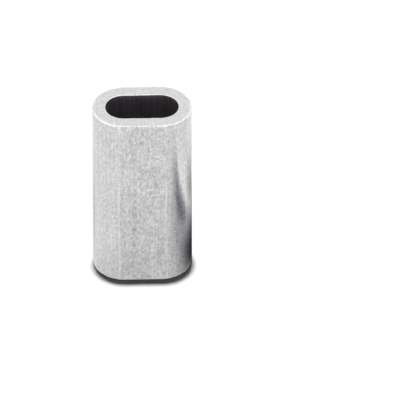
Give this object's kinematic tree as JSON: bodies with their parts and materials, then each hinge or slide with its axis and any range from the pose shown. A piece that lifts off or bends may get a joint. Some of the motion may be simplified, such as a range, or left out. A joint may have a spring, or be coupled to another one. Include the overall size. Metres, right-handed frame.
{
  "type": "wire rope ferrule",
  "caption": "Oval aluminium ferrule: a straight sleeve with flat sides and round ends that is crimped over side-by-side strands of wire rope to close an eye.",
  "frame": {"origin": "centre of the lower end, on the surface that the ferrule stands on", "axes": "+Z along the bore, +X across the two strands (the wide way), +Y through the two flat sides"},
  "size_m": [0.024, 0.0152, 0.0474],
  "materials": {
    "aluminium": "bare extruded, satin, with sawn ends"
  },
  "bodies": {
    "root": {"ferrule": "aluminium"}
  },
  "joints": []
}
